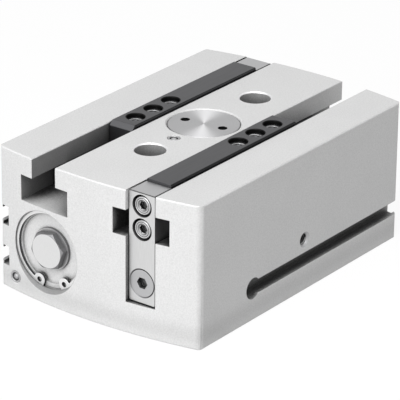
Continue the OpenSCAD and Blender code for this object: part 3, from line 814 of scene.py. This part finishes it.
# The chamfers of the mounting holes and ports are machined after anodising, so they are bright; the
# mounting-hole walls are painted greyer as shade.
# The inner walls of the slots get little painted shade, while their outer flanks and the walls round the end
# caps are painted mid grey as shade.
def dressHousing(piece):
    size = {name: length * mm for name, length in housingWalls.items()}
    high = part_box("housing")[1]
    pitch = mounts["mounting_holes"]["dims"]["spacing_x_mm"] / 2 * mm
    ports = [Vector(mounts[side + "_air_port"]["pos_m"]) for side in sides]
    seats = [((a.y + b.y) / 2, (a.z + b.z) / 2, min(abs(a.x), abs(b.x)), (b.y - a.y) / 2)
             for a, b in [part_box(side + "_end_cap") for side in sides]]
    slideLow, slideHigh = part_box("rear_jaw_slide")
    slideMiddle = (slideLow.y + slideHigh.y) / 2
    innerWall, outerWall = slideLow.y + size["foot"], high.y - size["outer"]

    def choose(polygon):
        middle, up, out = polygon.center, abs(polygon.normal.z), abs(polygon.normal.y)
        fromMount = min((middle - Vector((x, 0, 0))).xy.length for x in (-pitch, pitch))
        fromPort = min(sqrt((middle.x - p.x) ** 2 + (middle.z - p.z) ** 2) for p in ports)
        if fromMount < size["mount"] and up < facing["flat"]:
            bright = up > facing["leaning"] and middle.z > high.z - size["chamferDepth"]
            return "fresh_chamfer" if bright else "bored_alloy"
        if abs(polygon.normal.x) < facing["flat"] and any(
                middle.y * y > 0 and abs(middle.x) > x
                and r - size["seatInside"] < fromAxis(middle, [(y, z)]) < r + size["seatOutside"]
                for y, z, x, r in seats):
            return "seat_wall"
        if (fromPort < size["port"] and facing["leaning"] < out < facing["flat"]
                and abs(middle.y) > high.y - size["chamferDepth"]):
            return "port_chamfer"
        if out > facing["straight"]:
            if middle.z > high.z - size["mouthDepth"] and innerWall < abs(middle.y) < slideMiddle:
                return "swept_wall"
            if middle.z > slideLow.z and slideMiddle < abs(middle.y) < outerWall:
                return "slot_flank"

    refinish(piece, ["bored_alloy", "fresh_chamfer", "seat_wall", "port_chamfer", "swept_wall",
                     "slot_flank"], choose)


dressHousing(pieces["housing"])
for side in sides:
    refinish(pieces[side + "_circlip"], ["sheared_edge"],
             lambda polygon: "sheared_edge" if abs(polygon.normal.x) < facing["wall"] else None)
    # the stop screws' hex flanks and collar sides are painted mid grey as shade
    refinish(pieces[side + "_stop_screw"], ["bored_steel"],
             lambda polygon: "bored_steel" if abs(polygon.normal.x) < facing["cone"] else None)
print("housing, rings and stop screws dressed")


spannerHole = {              # drilled to take a pin spanner, mm
    "depth": 2.5,
    "drillPoint": 1.0,
    "within": 10,            # radius on the cover that takes in both holes
    "touching": 0.1,
}


# Sinks the floor of each spanner hole to the cone that a drill leaves, and paints its wall dark grey as shade
def dressCover(piece):
    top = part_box("pinion_cover")[1].z
    depth, touching = spannerHole["depth"] * mm, spannerHole["touching"] * mm
    skin = bmesh.new()
    skin.from_mesh(piece.data)
    floors = [f for f in skin.faces
              if f.normal.z > facing["straight"] and abs(f.calc_center_median().z - top + depth) < touching]
    cones = bmesh.ops.poke(skin, faces=floors)
    for vert in cones["verts"]:
        vert.co.z -= spannerHole["drillPoint"] * mm
    for face in cones["faces"]:
        face.smooth = False
    skin.to_mesh(piece.data)
    skin.free()

    def choose(polygon):
        middle = polygon.center
        isWall = abs(polygon.normal.z) < facing["wall"] and middle.z > top - depth - touching
        return "reamed_alloy" if isWall and middle.xy.length < spannerHole["within"] * mm else None

    refinish(piece, ["reamed_alloy"], choose)


dressCover(pieces["pinion_cover"])
print("spanner holes pointed")


# Draws a piece that is round about an axis, from its (radius, height) outline
def turnedPiece(name, outline, place, steps=48, smoothBelow=30):
    mesh = bpy.data.meshes.new(name)
    skin = bmesh.new()
    turn = [2 * pi * i / steps for i in range(steps)]
    rings = [[skin.verts.new((r * cos(a) * mm, r * sin(a) * mm, h * mm)) for a in turn] if r > 0
             else [skin.verts.new((0, 0, h * mm))] * steps for r, h in outline]
    for low, high in zip(rings, rings[1:]):
        for i in range(steps):
            corners = [low[i], low[(i + 1) % steps], high[(i + 1) % steps], high[i]]
            skin.faces.new(list(dict.fromkeys(corners)))
    bmesh.ops.recalc_face_normals(skin, faces=skin.faces)
    skin.to_mesh(mesh)
    skin.free()
    mesh.transform(place)
    mesh.shade_smooth()
    mesh.set_sharp_from_angle(angle=radians(smoothBelow))
    return addPiece(name, mesh)


ductPlug = {                 # expander plug: a sleeve with a ball pressed into it, mm
    "sleeve": [
        (0, -1.6), (2.26, -1.6), (2.26, -0.25), (2.15, -0.12),
        (1.75, -0.12), (1.6, -0.3), (1.55, -1.3), (0, -1.4),
    ],
    "ballRadius": 1.52,
    "ballTop": -0.14,
    "ballSteps": 16,
    "endSunk": 0.15,         # how far the end plugs sit below the end face
}


def addDuctPlug(name, node, mouth, outward):
    r, top, steps = ductPlug["ballRadius"], ductPlug["ballTop"], ductPlug["ballSteps"]
    arc = [pi * i / steps for i in range(steps + 1)]
    place = placedAt(mouth, outward)
    piece = turnedPiece(name, ductPlug["sleeve"], place)
    ball = turnedPiece(name + "_ball", [(r * sin(a), top - r + r * cos(a)) for a in arc], place)
    skin = bmesh.new()
    skin.from_mesh(piece.data)
    skin.from_mesh(ball.data)
    skin.to_mesh(piece.data)
    skin.free()
    bpy.data.objects.remove(ball)
    piece.data.materials.append(finishes["plug_steel"])
    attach(piece, nodeBody[node])
    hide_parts(node)


low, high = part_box("top_duct_plug")
addDuctPlug("top_duct_plug_finished", "top_duct_plug",
            Vector(((low.x + high.x) / 2, (low.y + high.y) / 2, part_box("housing")[1].z)), Vector((0, 0, 1)))
low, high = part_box("end_duct_plugs")
plugRadius = (high.z - low.z) / 2
for side, sign in sides.items():
    mouth = Vector((-sign * (high.x + ductPlug["endSunk"] * mm), sign * (high.y - plugRadius),
                    (low.z + high.z) / 2))
    addDuctPlug(side + "_end_duct_plug_finished", "end_duct_plugs", mouth, Vector((-sign, 0, 0)))
print("duct plugs made")
